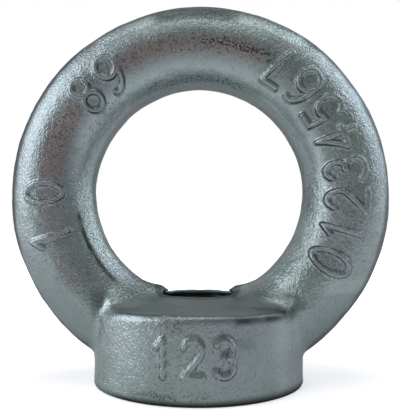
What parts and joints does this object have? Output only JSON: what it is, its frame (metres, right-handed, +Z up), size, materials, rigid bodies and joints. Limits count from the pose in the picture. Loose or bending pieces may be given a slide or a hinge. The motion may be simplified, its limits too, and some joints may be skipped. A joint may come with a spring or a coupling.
{
  "type": "lifting eye nut",
  "caption": "Forged steel lifting ring on a short round collar with a tapped hole up into the eye; screws onto a stud so a hook or shackle can lift the load.",
  "frame": {"origin": "centre of the machined base face, on the thread's axis", "axes": "+Z up along the thread's axis through the middle of the eye; the ring lies in the XZ plane; -Y is the front, marked side"},
  "size_m": [0.054, 0.0294, 0.0536],
  "materials": {
    "zinc_steel": "drop-forged steel, zinc plated: bluish grey, satin with a fine sparkling grain, reddish-brown speckle along the ring's crown"
  },
  "bodies": {
    "root": {"eye_nut": "zinc_steel"}
  },
  "joints": []
}
